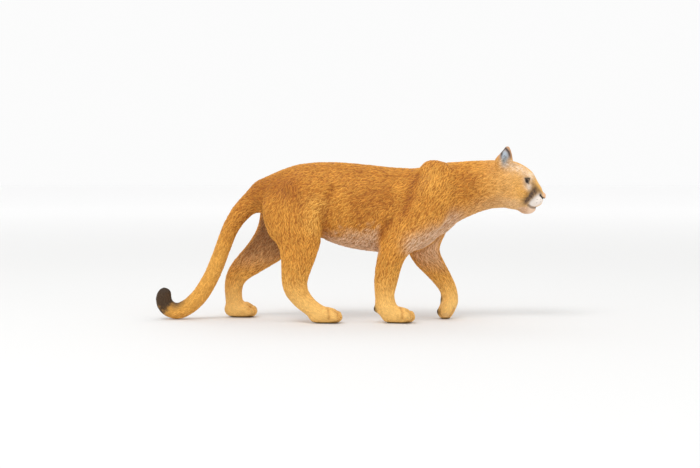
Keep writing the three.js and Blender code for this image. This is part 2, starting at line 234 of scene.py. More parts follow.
def along(line, places):
    """For each place: its distance to the line, how far along the line it lies, and the line's heading."""
    line = np.array(line, dtype=float)
    best = np.full(len(places), np.inf)
    reach = np.zeros(len(places))
    heading = np.zeros((len(places), 3))
    start = 0.0
    for a, b in zip(line[:-1], line[1:]):
        length = np.linalg.norm(b - a)
        t = np.clip((places - a) @ (b - a) / length**2, 0.0, 1.0)
        gap = np.linalg.norm(places - a - t[:, None] * (b - a), axis=1)
        nearer = gap < best
        best[nearer] = gap[nearer]
        reach[nearer] = start + t[nearer] * length
        heading[nearer] = (b - a) / length
        start += length
    return best, reach, heading


tail_gap, tail_reach, tail_heading = along(TAIL_LINE, points)
on_tail = smoothstep(-28.0, -33.0, points[:, 0]) * smoothstep(7.5, 4.5, tail_gap)
leg_facts = [along(line, points) for line in LEG_LINES]
leg_gap = np.min([facts[0] for facts in leg_facts], axis=0)
on_head = smoothstep(46.0, 50.0, points[:, 0])
on_foot = smoothstep(9.0, 5.0, points[:, 2]) * (1 - on_tail) * smoothstep(-45.0, -43.0, points[:, 0])
print("points on the head, feet and tail:", *[int(mask.sum()) for mask in (on_head, on_foot, on_tail)])

# %% [markdown]
# ## Fair the skin
# The solids have flat facets, and the remesh leaves tiny steps. Relaxing the points wears both away and
# rounds each junction into the soft fillet of a casting. The face, the ears and the toes are small, so they
# get far less of it.

# %% Draw the skin back and relax it
TORSO_ROUNDS, FINE_ROUNDS, RUMP_ROUNDS = 36, 6, 80
RUMP_PLACE, RUMP_SIZE = (-31, 0, 44), (7, 6, 6)

points -= read_normals(skin.data) * SWELL * 0.8
fine = np.clip(on_head + on_foot, 0.0, 1.0)
points = relaxed(points, FINE_ROUNDS)
points = relaxed(points, TORSO_ROUNDS, 0.5 * (1 - 0.97 * fine) * (1 - 0.7 * on_tail))
on_rump = np.exp(-np.sum(((points - RUMP_PLACE) / RUMP_SIZE) ** 2, axis=1))
points = relaxed(points, RUMP_ROUNDS, 0.6 * on_rump)
write_points(skin.data, points)
normals = read_normals(skin.data)

# %% [markdown]
# ## Placing detail by the photo
# A brush has to land on the skin itself. This helper sends a ray from the camera through a place in the
# photo and returns the point where it meets the skin, so an eye or a fold sits on the body wherever it is
# seen from. What the head and trunk have on one side is mirrored to the other.

# %% From a place in the photo to the skin
right = Vector((1, 0, 0))
forward = sight.normalized()
upward = right.cross(forward)
surface = BVHTree.FromObject(skin, bpy.context.evaluated_depsgraph_get())


def seen(column, row):
    scale = SEEN_WIDTH / PHOTO_WIDTH
    target = CAMERA_AIM + right * (column - PHOTO_WIDTH / 2) * scale
    target = target - upward * (row - PHOTO_HEIGHT / 2) * scale
    hit = surface.ray_cast(CAMERA_AT, (target - CAMERA_AT).normalized())[0]
    if hit is None:
        hit = surface.find_nearest(target)[0]
    return np.array(hit) / MM


def seen_line(*places, spacing=6.0):
    """A line drawn on the photo, as points on the skin about as far apart as the spacing in photo pixels."""
    line = []
    for start, end in zip(places[:-1], places[1:]):
        count = max(1, round(math.dist(start, end) / spacing))
        line += [seen(*np.array(start) + np.subtract(end, start) * part / count) for part in range(count)]
    return line + [seen(*places[-1])]


def on_skin(*places, steps=6):
    """A line through places in mm, drawn down onto the skin."""
    line = []
    for start, end in zip(places[:-1], places[1:]):
        line += [np.array(start) + np.subtract(end, start) * part / steps for part in range(steps)]
    line.append(np.array(places[-1]))
    return [np.array(surface.find_nearest(Vector(place) * MM)[0]) / MM for place in line]


def mirrored(places):
    return [np.array(place) * (1, -1, 1) for place in places]


def near(place, size):
    """A soft round mask about a place: 1 at its middle, fading out at the given half sizes."""
    offset = (points - place) / np.asarray(size, dtype=float)
    return np.exp(-2.0 * np.sum(offset**2, axis=1))


def near_line(line, width, soft_ends=0.0):
    """A soft mask about a line, out to three widths from it, which may fade towards its ends."""
    mask = np.zeros(len(points))
    low, high = np.min(line, axis=0) - 3 * width, np.max(line, axis=0) + 3 * width
    close = np.all((points > low) & (points < high), axis=1)
    gap, reach, _ = along(line, points[close])
    mask[close] = np.exp(-((gap / width) ** 2))
    if soft_ends:
        length = sum(math.dist(a, b) for a, b in zip(line[:-1], line[1:]))
        mask[close] *= smoothstep(0.0, soft_ends, reach) * smoothstep(0.0, soft_ends, length - reach)
    return mask


def push(mask, height):
    """Raises the skin along its normals by a height in mm, or lowers it where the height is negative."""
    global points, normals
    points = points + normals * (mask * height)[:, None]
    write_points(skin.data, points)
    normals = read_normals(skin.data)


def on_both_sides(places):
    return [places, mirrored(places)]


print("the eye is at, mm:", seen(527.3, 180.6).round(1))

# %% [markdown]
# ## Muscles and folds
# Under the painted fur the toy has a few clear forms: the shoulder blade stands proud with a hollow behind
# it, the thigh ends in a long fold at the flank, the hip has a hollow before it, and folds mark the elbow
# and the forearm.

# %% Sculpt the body
SHOULDER_EDGE = [(421, 168), (413, 184), (408, 202), (402, 222)]
SHOULDER_BLADE = [(437, 164), (433, 178), (424, 200)]
SHOULDER_FRONT = [(455, 170), (458, 186), (450, 206)]
FLANK_FOLD = [(336, 182), (329, 198), (326, 218), (324, 246)]
THIGH_FRONT = [(318, 192), (315, 215), (310, 240)]
HIP_HOLLOW = [(282, 186), (296, 196), (306, 212)]
ELBOW_FOLD = [(378, 242), (383, 230), (391, 216)]
FOREARM_GROOVE = [(388, 300), (391, 280), (394, 262)]
TRICEPS = [(398, 226), (408, 212), (420, 200)]
LINE_FADE = 3.0

for line, width, height in [
    (SHOULDER_EDGE, 1.9, -0.7),
    (SHOULDER_BLADE, 2.6, 0.3),
    (SHOULDER_FRONT, 1.9, -0.35),
    (FLANK_FOLD, 1.5, -0.55),
    (THIGH_FRONT, 2.2, 0.45),
    (HIP_HOLLOW, 2.2, -0.3),
    (ELBOW_FOLD, 1.3, -0.5),
    (FOREARM_GROOVE, 0.9, -0.3),
    (TRICEPS, 2.0, 0.35),
]:
    for side in on_both_sides(seen_line(*line)):
        push(near_line(side, width, soft_ends=LINE_FADE), height)

# %% [markdown]
# ## Toes
# Each foot has four toes, parted by three short grooves that run over its top and down its front. They lie
# side by side across the foot, so a groove is a band at a given place across, over the front part of the
# foot.

# %% Sculpt the toes
TOE_GAPS = [-2.0, 0.0, 2.0]
GROOVE_WIDTH, GROOVE_DEPTH = 0.3, 0.4
TOE_LINE_WIDTH, TOE_LINE_DEPTH = 0.42, 0.35
KNUCKLE_SIZE, KNUCKLE_HEIGHT = (1.5, 1.6, 1.5), 0.3
FORE_TOE_LINES = [
    [(400.5, 307.5), (402.6, 312.5), (402.2, 319.0)],
    [(407.5, 307.5), (411.3, 312.0), (411.4, 318.5)],
]
FORE_KNUCKLES = [(404.5, 309.5), (412.0, 312.0)]
TO_HIND_FOOT = np.array([-23.8, -0.3, 0.0])
TO_LEFT_HIND_FOOT = np.array([-52.8, 0.0, 0.0])
FLAT_FEET = [(11.2, -9.1), (-12.6, -9.4), (-41.6, 9.4)]
LIFTED_FOOT = (31.0, 4.0)


def as_drawn(line):
    return np.array(line)


def to_right_hind_foot(line):
    return np.array(line) + TO_HIND_FOOT


def to_left_hind_foot(line):
    return np.array(line) * (1, -1, 1) + TO_LEFT_HIND_FOOT


toe_grooves = np.zeros(len(points))
for gap in TOE_GAPS:
    for heel_x, middle_y in FLAT_FEET:
        from_heel = points[:, 0] - heel_x - 0.35 * abs(gap)
        band = np.exp(-(((points[:, 1] - middle_y - gap) / GROOVE_WIDTH) ** 2))
        reach = smoothstep(5.6, 7.2, from_heel) * smoothstep(13.0, 12.0, from_heel) * (points[:, 2] < 6)
        toe_grooves = np.maximum(toe_grooves, band * reach * (np.abs(points[:, 1] - middle_y) < 4.2))
    foot_x, middle_y = LIFTED_FOOT
    band = np.exp(-(((points[:, 1] - middle_y - gap) / GROOVE_WIDTH) ** 2))
    reach = smoothstep(4.6, 3.2, points[:, 2]) * smoothstep(foot_x - 4.0, foot_x - 3.0, points[:, 0])
    toe_grooves = np.maximum(toe_grooves, band * reach * (points[:, 0] < foot_x + 6))
push(toe_grooves, -GROOVE_DEPTH)
toe_lines = [seen_line(*line, spacing=2.0) for line in FORE_TOE_LINES]
knuckles = seen_line(*FORE_KNUCKLES, spacing=20.0)
for carried in (as_drawn, to_right_hind_foot, to_left_hind_foot):
    for line in toe_lines:
        toe_line = near_line(carried(line), TOE_LINE_WIDTH)
        push(toe_line, -TOE_LINE_DEPTH)
        toe_grooves = np.maximum(toe_grooves, 0.8 * toe_line)
    for place in carried(knuckles):
        push(near(place, KNUCKLE_SIZE), KNUCKLE_HEIGHT)

# %% [markdown]
# ## The head
# The face gets the most care. The brow hangs over the eye, a hollow runs from the eye's inner corner down
# the side of the nose, the whisker pad is full, and the mouth is a fine incised line. The backs of the ears
# are filled out.

# %% Sculpt the face
EYE_PLACE = (527.4, 180.8)
EYE_HALF_LENGTH, EYE_HALF_HEIGHT = 0.64, 0.86
BROW_LINE = [(521.5, 175.5), (526.5, 174.5), (531, 177)]
TEAR_LINE = [(530.5, 184), (533.5, 190), (534.5, 195)]
CHEEK_FOLD = [(524, 189), (522, 197), (525.5, 204)]
MOUTH_LINE = [(528.3, 205.2), (530.8, 207.0), (534.0, 207.9), (537.0, 207.5)]
NOSE_EDGE = [(540.4, 195.2), (542.2, 197.4), (543.8, 199.2)]
WHISKER_PLACE = (535, 200)
BRIDGE_DIP = (62.6, 0.0, 43.6)
NOSE_FOOT = (64.3, 0.0, 40.2)
MOUTH_MIDDLE = (63.6, 0.0, 38.3)
EAR_BACKS, EAR_BACK_SIZE = [(48.3, -5.2, 53.4), (49.5, 5.2, 53.4)], (1.7, 2.2, 2.8)
FACE_SPACING = 1.5

eye_right = seen(*EYE_PLACE)
mouth_side = seen_line(*MOUTH_LINE, spacing=FACE_SPACING)
mouth_front = on_skin(mouth_side[-1], MOUTH_MIDDLE)
nose_side = seen_line(*NOSE_EDGE, spacing=FACE_SPACING)
nose_under = on_skin(nose_side[-1], NOSE_FOOT, MOUTH_MIDDLE)
push(near(BRIDGE_DIP, (1.6, 2.0, 1.6)), 0.3)
for side in on_both_sides([eye_right]):
    push(near(side[0], (1.9, 1.6, 1.8)), -0.25)
    push(near(side[0], (EYE_HALF_LENGTH, 1.2, EYE_HALF_HEIGHT)), -0.25)
for line, width, height in [
    (seen_line(*BROW_LINE, spacing=FACE_SPACING), 0.8, 0.3),
    (seen_line(*TEAR_LINE, spacing=FACE_SPACING), 0.75, -0.15),
    (seen_line(*CHEEK_FOLD, spacing=FACE_SPACING), 1.0, -0.15),
    (mouth_side, 0.3, -0.35),
    (mouth_front, 0.3, -0.3),
    (nose_side, 0.28, -0.25),
    (nose_under, 0.28, -0.25),
]:
    for side in on_both_sides(line):
        push(near_line(side, width), height)
for side in on_both_sides([seen(*WHISKER_PLACE)]):
    push(near(side[0], (2.0, 1.5, 1.6)), 0.2)
for place in EAR_BACKS:
    push(near(place, EAR_BACK_SIZE), 0.6)

# %% [markdown]
# ## The lie of the fur
# The strokes run from the nose towards the tail, sweep down over the ribs and run down the legs. Each point
# gets one direction: that of the body line it is nearest to, laid flat on the skin. Relaxing these
# directions blends them where one part of the body meets the next.

# %% Directions along the coat
trunk_gap, _, trunk_heading = along(TRUNK_LINE, points)
low_on_side = smoothstep(42.0, 29.0, points[:, 2])
side_sweep = smoothstep(2.0, 8.0, np.abs(points[:, 1])) * (0.35 + 1.9 * low_on_side)
trunk_lie = trunk_heading + np.stack([0 * side_sweep, 0 * side_sweep, -side_sweep], axis=1)
lie = trunk_lie * (1.0 / (0.25 + trunk_gap / 9.0) ** 6)[:, None]
lie += tail_heading * (1.0 / (0.25 + tail_gap / 3.0) ** 6 * (points[:, 0] < -25))[:, None]
for (gap, _, heading), line in zip(leg_facts, LEG_LINES):
    own_side = smoothstep(0.0, 3.0, points[:, 1] * np.sign(line[0][1]))
    lie += heading * (own_side / (0.25 + gap / 4.6) ** 6)[:, None]
lie = lie / np.linalg.norm(lie, axis=1)[:, None]
lie = relaxed(lie, 25)


def flat_on_skin(directions):
    flat = directions - normals * np.sum(directions * normals, axis=1)[:, None]
    return flat / np.maximum(np.linalg.norm(flat, axis=1), 1e-6)[:, None]


lie = flat_on_skin(lie)
across = np.cross(normals, lie)

# %% [markdown]
# ## Soft clumps under the coat
# Beneath the fine strokes the fur lies in soft, overlapping clumps: each rises slowly from its root and
# ends in a small step. We scatter thousands of clumps over the skin at random, and at every point keep the
# highest one. The seed is fixed, so the coat is the same each time. The random turn makes the clumps cross
# a little.

# %% Stamp the clumps
STROKES = 12000
STROKE_LENGTH, STROKE_WIDTH, STROKE_TURN = 2.2, 0.8, 0.25
COAT_DEPTH = 0.14


def tree_of_points():
    tree = KDTree(len(points))
    for index, place in enumerate(points):
        tree.insert(place, index)
    tree.balance()
    return tree


rng = np.random.default_rng(11)
tree = tree_of_points()
relief = np.zeros(len(points))
for index in rng.integers(0, len(points), STROKES):
    size = 1.0 - 0.45 * max(on_head[index], 0.8 * on_foot[index])
    length = STROKE_LENGTH * size * rng.uniform(0.7, 1.3)
    width = STROKE_WIDTH * size * rng.uniform(0.75, 1.25)
    turn = rng.normal(0.0, STROKE_TURN)
    height = rng.uniform(0.65, 1.0)
    close = np.array([hit[1] for hit in tree.find_range(points[index], length)])
    offset = points[close] - points[index]
    u = offset @ (lie[index] * math.cos(turn) + across[index] * math.sin(turn)) / length
    v = offset @ (across[index] * math.cos(turn) - lie[index] * math.sin(turn)) / width
    taper = np.clip(1.0 - np.abs(u) ** 3, 0.0, 1.0)
    ridge = np.clip(1.0 - (v / np.maximum(taper, 0.05)) ** 2, 0.0, 1.0)
    rise = height * (0.45 + 0.55 * (u + 1) / 2) * np.sqrt(ridge) * (taper > 0)
    higher = rise > relief[close]
    relief[close[higher]] = rise[higher]
depth = COAT_DEPTH * (1 - 0.62 * on_head) * (1 - 0.75 * on_foot) * (1 - 0.25 * on_tail)
muzzle = smoothstep(58.0, 61.0, points[:, 0])
depth *= 1 - 0.9 * muzzle
points = points + normals * ((relief - 0.65) * depth)[:, None]
points[:, 2] = np.maximum(points[:, 2], 0.0)
write_points(skin.data, points)
smooth_normals = normals
normals = read_normals(skin.data)
print("mean rise of the clumps:", round(float(relief.mean()), 2))

# %% [markdown]
# ## The paint
# Such a toy is painted in layers, and so are its colours here: a tan coat, brown as painted shade in the
# hollows, gold as a painted highlight on the high places and gold on the feet, then pale paint below and on
# the muzzle, and last the darks. Each layer is a mask, and the result is a colour at every point of the
# skin.
# Colours are named as a screen shows them, and made linear.

# %% Paint the layers
def linear(screen):
    screen = np.array(screen) / 255.0
    return np.where(screen <= 0.04045, screen / 12.92, ((screen + 0.055) / 1.055) ** 2.4)


TAN = linear((226, 163, 71))
BROWN = linear((176, 108, 36))
DEEP_SHADE = linear((112, 66, 32))
GOLD = linear((252, 206, 112))
BELLY = linear((232, 196, 164))
MAUVE = linear((150, 106, 76))
FOOT_GOLD = linear((248, 202, 122))
PEACH = linear((244, 212, 172))
SMOKE = linear((84, 64, 52))
WHITE = linear((240, 228, 218))
CHIN_PINK = linear((238, 206, 182))
LINING = linear((176, 186, 196))
EAR_BACK = linear((196, 128, 62))
NOSE_PINK = linear((232, 184, 146))
NEAR_BLACK = linear((34, 28, 24))
TAIL_DARK = linear((58, 46, 38))

paint = np.tile(TAN, (len(points), 1))


def lay(colour, mask, strength=1.0):
    global paint
    mask = np.clip(mask * strength, 0.0, 1.0)[:, None]
    paint = paint * (1 - mask) + colour * mask


x, y, z = points.T
facing_down = -smooth_normals[:, 2]
inward = -smooth_normals[:, 1] * np.sign(y)
blotches = relaxed(rng.normal(0.0, 1.0, len(points)), 60)
blotches = blotches / blotches.std()
fleck = relaxed(rng.normal(0.0, 1.0, len(points)), 3)
fleck = fleck / fleck.std()

body = (1 - on_head) * (1 - on_foot)
toward_face = smoothstep(38.0, 57.0, x)
toward_feet = smoothstep(17.0, 3.5, z) * (1 - on_tail)
CHEST_PATCH = [(414, 246), (426, 240), (438, 231), (452, 221)]
DARK_FLANK = [(345, 208), (370, 200), (398, 196)]
DARK_RUMP = [(246, 198), (262, 188), (285, 186), (306, 190)]
NECK_SHADE = [(478, 175), (468, 188), (460, 200)]
BELLY_TOP, BELLY_RISE, BELLY_BACK = 27.9, 0.12, -8.0

facing_up = smoothstep(0.25, 0.9, smooth_normals[:, 2])
behind_shoulders = smoothstep(36.0, 26.0, x)
tail_start = smoothstep(26.0, 6.0, tail_reach) * on_tail
tail_rest = smoothstep(16.0, 32.0, tail_reach) * on_tail
lower_legs = smoothstep(24.0, 10.0, z) * (1 - on_tail)

lay(BROWN, smoothstep(-0.3, 1.6, blotches) * body, 0.22)
lay(BROWN, facing_up * body * behind_shoulders, 0.35)
# Brown along the shoulder's edge, the hip hollow, the elbow fold and the flank fold is painted shade in
# these creases, and the neck shade is painted shade behind the ear; the flank and rump bands are simply
# darker.
for line, width, strength in [
    (SHOULDER_EDGE, 2.0, 0.6),
    (HIP_HOLLOW, 4.0, 0.4),
    (ELBOW_FOLD, 2.4, 0.5),
    (FLANK_FOLD, 1.6, 0.3),
    (DARK_FLANK, 6.0, 0.55),
    (DARK_RUMP, 5.0, 0.65),
    (NECK_SHADE, 3.5, 0.35),
]:
    for side in on_both_sides(seen_line(*line)):
        lay(BROWN, near_line(side, width, soft_ends=LINE_FADE), strength)
lay(BROWN, tail_start, 0.35)
# Gold along the shoulder blade and the front of the thigh is a painted highlight on these raised forms.
for line, strength in [(SHOULDER_BLADE, 0.12), (THIGH_FRONT, 0.3)]:
    for side in on_both_sides(seen_line(*line)):
        lay(GOLD, near_line(side, 3.6, soft_ends=LINE_FADE), strength)
lay(GOLD, toward_face, 0.28)
lay(GOLD, lower_legs, 0.3)
lay(GOLD, tail_rest, 0.22)
lay(FOOT_GOLD, toward_feet, 0.75)
# Brown in the toe grooves is painted shade between the toes.
lay(BROWN, toe_grooves, 0.45)

belly_top = BELLY_TOP + BELLY_RISE * (x - BELLY_BACK) + 0.9 * fleck
between_legs = smoothstep(BELLY_BACK - 1.5, BELLY_BACK, x) * smoothstep(36.0, 30.0, x)
under = smoothstep(belly_top + 3.5, belly_top - 2.5, z) * between_legs
clear_of_foreleg = smoothstep(4.2, 5.6, leg_facts[2][0])
clear_of_left_foreleg = np.where(y > 0, smoothstep(5.5, 7.5, leg_facts[3][0]), 1.0)
under *= clear_of_foreleg * clear_of_left_foreleg * smoothstep(21.0, 23.0, z)
under *= 1 - smoothstep(4.0, 6.0, np.abs(y)) * smoothstep(8.0, 10.5, x)
lay(BELLY, under, 0.95)
lay(MAUVE, under * smoothstep(0.4, -1.2, fleck), 0.4)
inner = smoothstep(0.3, 0.85, inward) * smoothstep(14.0, 22.0, z) * smoothstep(38.0, 32.0, z)
lay(BELLY, inner * (0.4 + 0.35 * smoothstep(18.0, 26.0, x)))
# Deep brown inside the upper hind legs is painted shade between the legs.
lay(DEEP_SHADE, inner * smoothstep(16.0, 26.0, z) * smoothstep(0.0, -12.0, x), 0.6)
throat = smoothstep(0.15, 0.75, facing_down) * smoothstep(28.0, 34.0, x)
lay(PEACH, throat * smoothstep(62.0, 56.0, x), 0.3)
for side in on_both_sides(seen_line(*CHEST_PATCH)):
    chest = near_line(side, 3.4) * smoothstep(20.5, 23.0, z) * clear_of_left_foreleg
    lay(BELLY, chest, 1.3)
    lay(BROWN, chest * smoothstep(0.2, 1.2, fleck), 0.45)

# %% [markdown]
# The face is painted with finer brushes: a white muzzle and chin, a pale ring and a pale patch at the eye,
# a brown smudge from the mouth's corner up to the nose, dark nostril edges and the dark mouth.

# %% Paint the face
SMUDGE = [(527.4, 200.6), (529.6, 197.0), (532.4, 193.8), (534.4, 191.8)]
BRIDGE_SHADE = [(533.0, 184.0), (536.0, 187.5), (541.0, 192.8)]
EYE_PATCH = (529.0, 187.0)
EYE_RIM = [(525.3, 178.4), (529.5, 178.3), (529.3, 183.8), (526.3, 181.4), (525.3, 178.4)]
BROW_LINE_PALE = [(514.0, 166.0), (524.0, 170.0), (531.0, 174.0)]
EAR_FOOT = (506.0, 164.5)
JOWL = (512.0, 203.0)
MUZZLE = [(533.8, 203.0), (536.8, 201.4), (540.0, 199.0)]
FOREHEAD, BRIDGE = (60.5, 0.0, 47.5), (62.0, 0.0, 45.0)

lay(PEACH, toward_face * smoothstep(60.0, 50.0, x + 0.8 * fleck), 0.25)
for side in on_both_sides([seen(*JOWL), seen(*EYE_PATCH), eye_right, seen(*EAR_FOOT)]):
    jowl, patch, eye, ear_foot = side
    lay(PEACH, near(jowl, (6.0, 4.0, 2.6)), 0.4)
    lay(WHITE, near(ear_foot, (1.9, 2.4, 1.5)), 0.8)
    lay(WHITE, near(patch, (2.4, 1.8, 1.7)), 0.85)
    lay(WHITE, near(eye, (2.3, 1.8, 2.4)), 0.85)
for side in on_both_sides(seen_line(*MUZZLE, spacing=FACE_SPACING)):
    lay(WHITE, near_line(side, 1.7), 1.7)
for side in on_both_sides(seen_line(*BROW_LINE_PALE)):
    lay(PEACH, near_line(side, 2.3), 0.85)
    lay(WHITE, near_line(side, 2.8) * smoothstep(-0.4, 1.0, fleck), 0.45)
lay(PEACH, near(FOREHEAD, (3.5, 2.4, 3.5)), 0.7)
lay(SMOKE, near(BRIDGE, (2.0, 1.6, 3.0)), 0.35)
lay(CHIN_PINK, smoothstep(38.3, 37.4, z) * smoothstep(54.0, 57.5, x), 0.8)
lay(NOSE_PINK, smoothstep(63.7, 64.1, x) * smoothstep(40.4, 40.9, z), 0.9)
for line, colour, width, strength in [
    (BRIDGE_SHADE, SMOKE, 1.0, 0.6),
    (SMUDGE, SMOKE, 1.8, 1.15),
]:
    for side in on_both_sides(seen_line(*line, spacing=FACE_SPACING)):
        blotted = 1 - 0.25 * smoothstep(-0.2, 1.2, fleck)
        lay(colour, near_line(side, width) * blotted, strength)
for side in on_both_sides(seen_line(*MUZZLE, spacing=FACE_SPACING)):
    lay(WHITE, near_line(side, 1.05), 1.0)
    lay(SMOKE, near_line(side, 0.9) * smoothstep(0.7, 1.4, fleck), 0.6)
for line, width in [(mouth_side, 0.3), (mouth_front, 0.3), (nose_side, 0.38), (nose_under, 0.34)]:
    for side in on_both_sides(line):
        lay(NEAR_BLACK, near_line(side, width), 1.6)
for side in on_both_sides(seen_line(*EYE_RIM, spacing=FACE_SPACING)):
    lay(NEAR_BLACK, near_line(side, 0.24), 1.3)
for side in on_both_sides([eye_right]):
    lay(NEAR_BLACK, near(side[0], (0.95, 1.4, 1.1)), 1.6)

# %% [markdown]
# What is left is dark or small: grey lining and a dark rim in the ears, a dark end to the tail, dark pads,
# and a dark edge under the soles.

# %% Paint the ears, the tail tip and the pads
EAR_CUP = (505.0, 157.0)
EAR_RIM = [(501.0, 158), (502.0, 152), (505.3, 148.0), (508.8, 152), (510.6, 159)]
WRIST_PADS = [(8.2, -9.0, 4.6), (30.6, 4.1, 6.4)]
SOLE_PAD = (29.6, 4.0, 2.3)
TAIL_DARK_FROM = 55.5

on_ear = smoothstep(53.2, 54.4, z) * smoothstep(3.6, 4.6, np.abs(y)) * on_head
lay(EAR_BACK, on_ear, 0.8)
for side in on_both_sides([seen(*EAR_CUP)]):
    lay(LINING, near(side[0], (1.9, 1.6, 3.6)), 1.6)
    lay(SMOKE, near(side[0], (1.5, 1.5, 3.0)) * smoothstep(0.5, 1.5, fleck), 0.6)
for side in on_both_sides(seen_line(*EAR_RIM, spacing=FACE_SPACING)):
    lay(NEAR_BLACK, near_line(side, 0.45) * smoothstep(53.0, 55.5, z), 0.9)
tail_place = tail_reach + 0.6 * fleck
lay(TAIL_DARK, smoothstep(TAIL_DARK_FROM - 1.5, TAIL_DARK_FROM + 1.0, tail_place) * on_tail, 0.95)
tail_top = np.clip(smooth_normals[:, 2], 0.0, 1.0)
lay(TAIL_DARK, smoothstep(44.0, 52.0, tail_reach) * tail_top * on_tail, 0.9)
for place in WRIST_PADS:
    lay(NEAR_BLACK, near(place, (1.2, 1.5, 1.6)), 1.4)
lay(NEAR_BLACK, near(SOLE_PAD, (1.3, 2.4, 1.5)), 1.4)
lay(NEAR_BLACK, smoothstep(0.7, 0.3, z) * smoothstep(0.3, 0.7, facing_down) * (1 - on_tail), 0.85)

# %% [markdown]
# ## The dark wash and painted shade
# A thin dark wash runs into every groove and dries there, and it also stands for the shade between the
# strokes. The skin itself is the floor of the grooves between the strokes that come next, so on the coat it
# takes this darkening nearly everywhere, and the bare face and feet stay clean. The hollows of the body are
# painted darker too, as painted shade. What is painted so far, with that painted shade, is kept for the
# strokes, which take the lighter paint.

# %% Wash the grooves and paint shade into the hollows
WASH_AND_SHADE_TINT = np.array([0.66, 0.54, 0.40])
HOLLOW_SHADE_STRENGTH = 0.45

layered = paint.copy()
# The body's hollows, narrow and wide, are found here and painted darker: painted shade.
narrow = np.sum((relaxed(points, 12) - points) * smooth_normals, axis=1)
wide = np.sum((relaxed(points, 70) - points) * smooth_normals, axis=1)
hollow_shade = smoothstep(0.0, 0.2, narrow) + 0.8 * smoothstep(0.02, 0.5, wide) * (1 - toward_face)
hollow_shade = np.clip(hollow_shade, 0.0, 1.0) * (1 - 0.5 * toward_feet)
layered = layered * (1 - HOLLOW_SHADE_STRENGTH * hollow_shade[:, None] * (1 - WASH_AND_SHADE_TINT))
bare = np.clip(smoothstep(57.5, 59.5, x) + on_ear + smoothstep(0.6, 0.2, z), 0.0, 1.0)
tail_end = on_tail * smoothstep(12.0, 30.0, tail_reach)
coated = (1 - bare) * (1 - 0.38 * toward_face) * (1 - 0.8 * toward_feet) * (1 - 0.5 * tail_end)
# The coat's skin is darkened, the wash in the grooves and painted shade between the strokes, and the hollows
# get their painted shade as well.
paint = paint * (1 - coated[:, None] * (1 - WASH_AND_SHADE_TINT))
paint = paint * (1 - HOLLOW_SHADE_STRENGTH * hollow_shade[:, None] * (1 - WASH_AND_SHADE_TINT))
paint = np.clip(paint, 0.0, 1.0)

colours = skin.data.color_attributes.new("paint", "FLOAT_COLOR", "POINT")
colours.data.foreach_set("color", np.column_stack([paint, coated]).astype(np.float32).ravel())
print("mean paint:", paint.mean(axis=0).round(3))

# %% [markdown]
# ## The painted vinyl
# Hand-brushed acrylic on vinyl is satin, a little shinier where it is rubbed. The material reads the stored
# paint, and where there is coat it adds a fine grain, finer than the mesh can hold, with painted shade in
# its pits and a painted highlight on its crests, which also makes every colour faintly uneven. How much coat
# there is comes from the fourth number stored with each colour.

# %% Materials
GRAIN_SCALE, SHEEN_SCALE, GLOSS_SCALE = 950.0, 300.0, 800.0
GRAIN_PIT_SHADE, GRAIN_CREST_LIGHT = {"Red": 0.66, "Green": 0.56, "Blue": 0.42}, 1.18
GRAIN_DEPTH = 0.12
EYE_BROWN = linear((34, 22, 15))


def node_material(name):
    material = bpy.data.materials.new(name)
    material.use_nodes = True
    return material, material.node_tree.nodes, material.node_tree.links


def noise(nodes, links, scale, detail=3.0, distortion=0.0):
    place = nodes.new("ShaderNodeTexCoord")
    texture = nodes.new("ShaderNodeTexNoise")
    texture.inputs["Scale"].default_value = scale
    texture.inputs["Detail"].default_value = detail
    texture.inputs["Distortion"].default_value = distortion
    links.new(place.outputs["Object"], texture.inputs["Vector"])
    return texture.outputs["Fac"]


def ranged(nodes, links, value, low, high):
    spread = nodes.new("ShaderNodeMapRange")
    spread.inputs["From Min"].default_value = 0.3
    spread.inputs["From Max"].default_value = 0.7
    spread.inputs["To Min"].default_value = low
    spread.inputs["To Max"].default_value = high
    links.new(value, spread.inputs["Value"])
    return spread.outputs["Result"]


painted, nodes, links = node_material("painted_vinyl")
shader = nodes["Principled BSDF"]
stored = nodes.new("ShaderNodeAttribute")
stored.attribute_name = "paint"
uneven_and_shaded = nodes.new("ShaderNodeMix")
uneven_and_shaded.data_type = "RGBA"
uneven_and_shaded.blend_type = "MULTIPLY"
uneven_and_shaded.inputs["Factor"].default_value = 1.0
grain = noise(nodes, links, GRAIN_SCALE, detail=2.0, distortion=0.6)
tints = nodes.new("ShaderNodeCombineColor")
# The grain is painted darker in its pits and lighter on its crests: painted shade and a painted highlight.
for channel, pit_shade in GRAIN_PIT_SHADE.items():
    links.new(ranged(nodes, links, grain, pit_shade, GRAIN_CREST_LIGHT), tints.inputs[channel])
grained = nodes.new("ShaderNodeMix")
grained.data_type = "RGBA"
grained.inputs["A"].default_value = (1.0, 1.0, 1.0, 1.0)
links.new(tints.outputs["Color"], grained.inputs["B"])
links.new(stored.outputs["Alpha"], grained.inputs["Factor"])
links.new(stored.outputs["Color"], uneven_and_shaded.inputs["A"])
links.new(grained.outputs["Result"], uneven_and_shaded.inputs["B"])
links.new(uneven_and_shaded.outputs["Result"], shader.inputs["Base Color"])
sheen = noise(nodes, links, SHEEN_SCALE)
links.new(ranged(nodes, links, sheen, 0.5, 0.66), shader.inputs["Roughness"])
shader.inputs["Specular IOR Level"].default_value = 0.22
bump = nodes.new("ShaderNodeBump")
bump.inputs["Strength"].default_value = 0.35
bump.inputs["Distance"].default_value = GRAIN_DEPTH * MM
links.new(grain, bump.inputs["Height"])
links.new(bump.outputs["Normal"], shader.inputs["Normal"])

gloss, nodes, links = node_material("eye_gloss")
shader = nodes["Principled BSDF"]
shader.inputs["Base Color"].default_value = (*EYE_BROWN, 1.0)
sheen = noise(nodes, links, GLOSS_SCALE)
links.new(ranged(nodes, links, sheen, 0.18, 0.3), shader.inputs["Roughness"])
shader.inputs["Specular IOR Level"].default_value = 0.3

